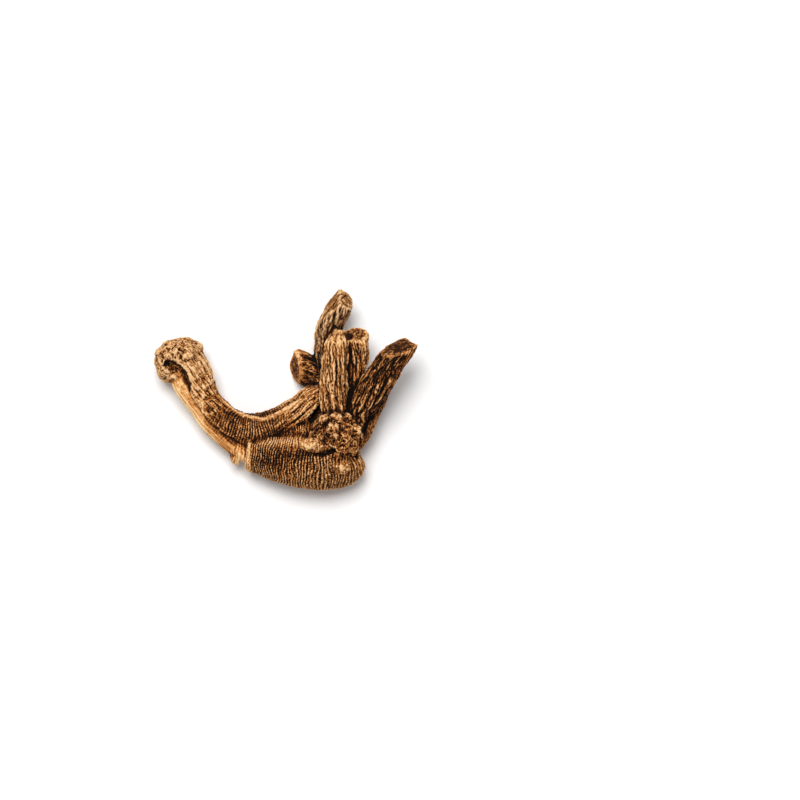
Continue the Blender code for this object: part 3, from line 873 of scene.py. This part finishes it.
def make_skin():
    """The root's skin: the CAD's form with finer wrinkles."""
    root = plain_form("root_skin")
    add_modifier(root, "SUBSURF", levels=1)
    apply_modifiers(root)
    wrinkle(root)
    root.data.transform(Matrix.Rotation(GROUND_SLOPE, 4, "X"))
    set_down(root.data)
    add_modifier(root, "TRIANGULATE")
    apply_modifiers(root)
    add_modifier(root, "DECIMATE", ratio=SKIN_TRIANGLES / len(root.data.polygons))
    apply_modifiers(root)
    drop_crumbs(root.data)
    set_down(root.data)
    root.data.transform(Matrix.Rotation(-GROUND_SLOPE, 4, "X"))
    paint(root.data)
    root.data.transform(Matrix.Rotation(GROUND_SLOPE, 4, "X"))
    settle(root.data)
    root.data.shade_smooth()
    root.data.materials.clear()
    root.data.materials.append(bark_material())
    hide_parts("gentian_root")
    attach(root, "root")
    return root


class Nodes:
    """Short ways to make and join a material's nodes."""

    def __init__(self, material):
        material.use_nodes = True
        self.tree = material.node_tree
        self.shader = self.tree.nodes["Principled BSDF"]

    def make(self, kind, settings=None, **joins):
        node = self.tree.nodes.new(kind)
        for key, value in (settings or {}).items():
            setattr(node, key, value)
        for key, value in joins.items():
            socket = node.inputs[int(key[1:])] if key[1:].isdigit() else node.inputs[key.replace("_", " ")]
            self.set(socket, value)
        return node

    def set(self, socket, value):
        if isinstance(value, bpy.types.NodeSocket):
            self.tree.links.new(value, socket)
        else:
            socket.default_value = value

    def note(self, name):
        return self.make("ShaderNodeAttribute", {"attribute_name": name})

    def noise(self, vector, scale, detail=3.0, rough=0.6):
        node = self.make("ShaderNodeTexNoise", Vector=vector, Scale=scale, Detail=detail, Roughness=rough)
        return node.outputs["Fac"]

    def math(self, kind, a, b=0.0, clamp=False):
        return self.make("ShaderNodeMath", {"operation": kind, "use_clamp": clamp}, i0=a, i1=b).outputs[0]

    def ramp(self, factor, stops):
        node = self.make("ShaderNodeValToRGB", Fac=factor)
        band = node.color_ramp
        while len(band.elements) > 1:
            band.elements.remove(band.elements[0])
        for number, (place, colour) in enumerate(stops):
            element = band.elements[0] if number == 0 else band.elements.new(place)
            element.position = place
            element.color = (*colour, 1)
        return node.outputs["Color"]

    def mix(self, factor, a, b, kind="MIX"):
        node = self.make("ShaderNodeMix", {"data_type": "RGBA", "blend_type": kind})
        for socket, value in zip((node.inputs[0], node.inputs[6], node.inputs[7]), (factor, a, b)):
            self.set(socket, value if not isinstance(value, tuple) else (*value, 1))
        return node.outputs[2]


def bark_material():
    """Dark creases, brown bark and tan ridges, partly painted shade and highlight, with bare orange wood and
    pale torn places.
    """
    material = bpy.data.materials.new("bark")
    nodes = Nodes(material)
    place = nodes.make("ShaderNodeTexCoord").outputs["Object"]
    grain = nodes.note("grain").outputs["Vector"]
    crest = nodes.note("crest").outputs["Fac"]
    speck = nodes.noise(grain, GRAIN_SCALE)
    blotch = nodes.noise(place, BLOTCH_SCALE, 2.0)
    patch = nodes.noise(place, PATCH_SCALE, 3.0)
    # Crests darken the creases with painted shade and lighten the ridges with painted highlight, on top of
    # the bark's own darker creases and paler ridges
    height = nodes.math("MULTIPLY_ADD", crest, CREST_SHARE)
    height.node.inputs[2].default_value = MIDDLE_TONE
    # The tone brings in the limbs' and places' own lighter and darker bark, painted shade in some places and
    # painted light on the rhizome's upper rim
    height = nodes.math("ADD", height, nodes.note("tone").outputs["Fac"])
    for field, share in ((speck, SPECK_SHARE), (patch, PATCH_SHARE)):
        swing = nodes.math("MULTIPLY", nodes.math("SUBTRACT", field, 0.5), share)
        height = nodes.math("ADD", height, swing)
    bark = nodes.ramp(height, BARK_COLOURS)
    warm = nodes.ramp(height, WARM_COLOURS)
    blotched = nodes.ramp(blotch, [(BLOTCH_LEVELS[0], (0, 0, 0)), (BLOTCH_LEVELS[1], (1, 1, 1))])
    bark = nodes.mix(blotched, bark, warm)
    grey = nodes.ramp(height, GREY_COLOURS)
    bark = nodes.mix(nodes.math("MULTIPLY", nodes.note("grey").outputs["Fac"], GREY_SHARE), bark, grey)
    porous = nodes.ramp(height, POROUS_COLOURS)
    bark = nodes.mix(nodes.math("MULTIPLY", nodes.note("porous").outputs["Fac"], POROUS_SHARE), bark, porous)
    wood = nodes.ramp(height, WOOD_COLOURS)
    bark = nodes.mix(nodes.note("wood").outputs["Fac"], bark, wood)
    torn = nodes.ramp(height, TORN_COLOURS)
    colour = nodes.mix(nodes.note("torn").outputs["Fac"], bark, torn)
    nodes.set(nodes.shader.inputs["Base Color"], colour)
    nodes.shader.inputs["Roughness"].default_value = ROUGHNESS
    nodes.shader.inputs["Specular IOR Level"].default_value = SPECULAR
    fine = nodes.noise(grain, BUMP_SCALE, 4.0, 0.7)
    bump = nodes.make("ShaderNodeBump", Height=fine, Strength=BUMP_STRENGTH, Distance=BUMP_HEIGHT)
    nodes.set(nodes.shader.inputs["Normal"], bump.outputs["Normal"])
    return material


def make_floor():
    """A plain pale floor, well past the camera's view."""
    mesh = bpy.data.meshes.new("floor")
    side = FLOOR_SIDE
    rim = [(-side, -side, 0), (side, -side, 0), (side, side, 0), (-side, side, 0)]
    mesh.from_pydata(rim, [], [(0, 1, 2, 3)])
    floor = bpy.data.objects.new("floor", mesh)
    bpy.context.scene.collection.objects.link(floor)
    material = bpy.data.materials.new("floor")
    material.use_nodes = True
    shader = material.node_tree.nodes["Principled BSDF"]
    shader.inputs["Base Color"].default_value = FLOOR_COLOUR
    shader.inputs["Roughness"].default_value = 1.0
    shader.inputs["Specular IOR Level"].default_value = 0.0
    mesh.materials.append(material)


def make_light(name, place, size, power):
    """A square soft light that faces the root."""
    lamp = bpy.data.lights.new(name, "AREA")
    lamp.size = size
    lamp.energy = power
    obj = bpy.data.objects.new(name, lamp)
    obj.location = place
    obj.rotation_euler = (-Vector(place)).to_track_quat("-Z", "Y").to_euler()
    bpy.context.scene.collection.objects.link(obj)


def make_tones():
    """Plain tones, so that the ground comes out white as in the photograph."""
    bpy.context.scene.view_settings.view_transform = "Standard"


def make_world():
    world = bpy.data.worlds.new("studio")
    world.use_nodes = True
    background = world.node_tree.nodes["Background"]
    background.inputs["Color"].default_value = (1, 1, 1, 1)
    background.inputs["Strength"].default_value = WORLD_STRENGTH
    bpy.context.scene.world = world


def make_camera():
    """Looks down on the ground as the photograph does, from far off."""
    data = bpy.data.cameras.new("camera")
    data.lens = CAMERA_LENS
    data.sensor_width = CAMERA_SENSOR
    data.clip_end = 10
    camera = bpy.data.objects.new("camera", data)
    bpy.context.scene.collection.objects.link(camera)
    angle = math.pi / 2 - GROUND_SLOPE
    ahead = Vector((0, math.cos(angle), -math.sin(angle)))
    up = Vector((0, math.sin(angle), math.cos(angle)))
    right = Vector((1, 0, 0))
    aim = right * CAMERA_AIM[0] + up * CAMERA_AIM[1] - ahead * CAMERA_AIM[2] - Vector(ORIGIN)
    place = Matrix((right, up, -ahead)).transposed().to_4x4()
    place.translation = (aim - ahead * CAMERA_DISTANCE) * MM
    camera.matrix_world = place
    bpy.context.scene.camera = camera


def main():
    make_camera()
    make_world()
    make_tones()
    for name, place, size, power in LIGHTS:
        make_light(name, place, size, power)
    make_floor()
    make_skin()


main()
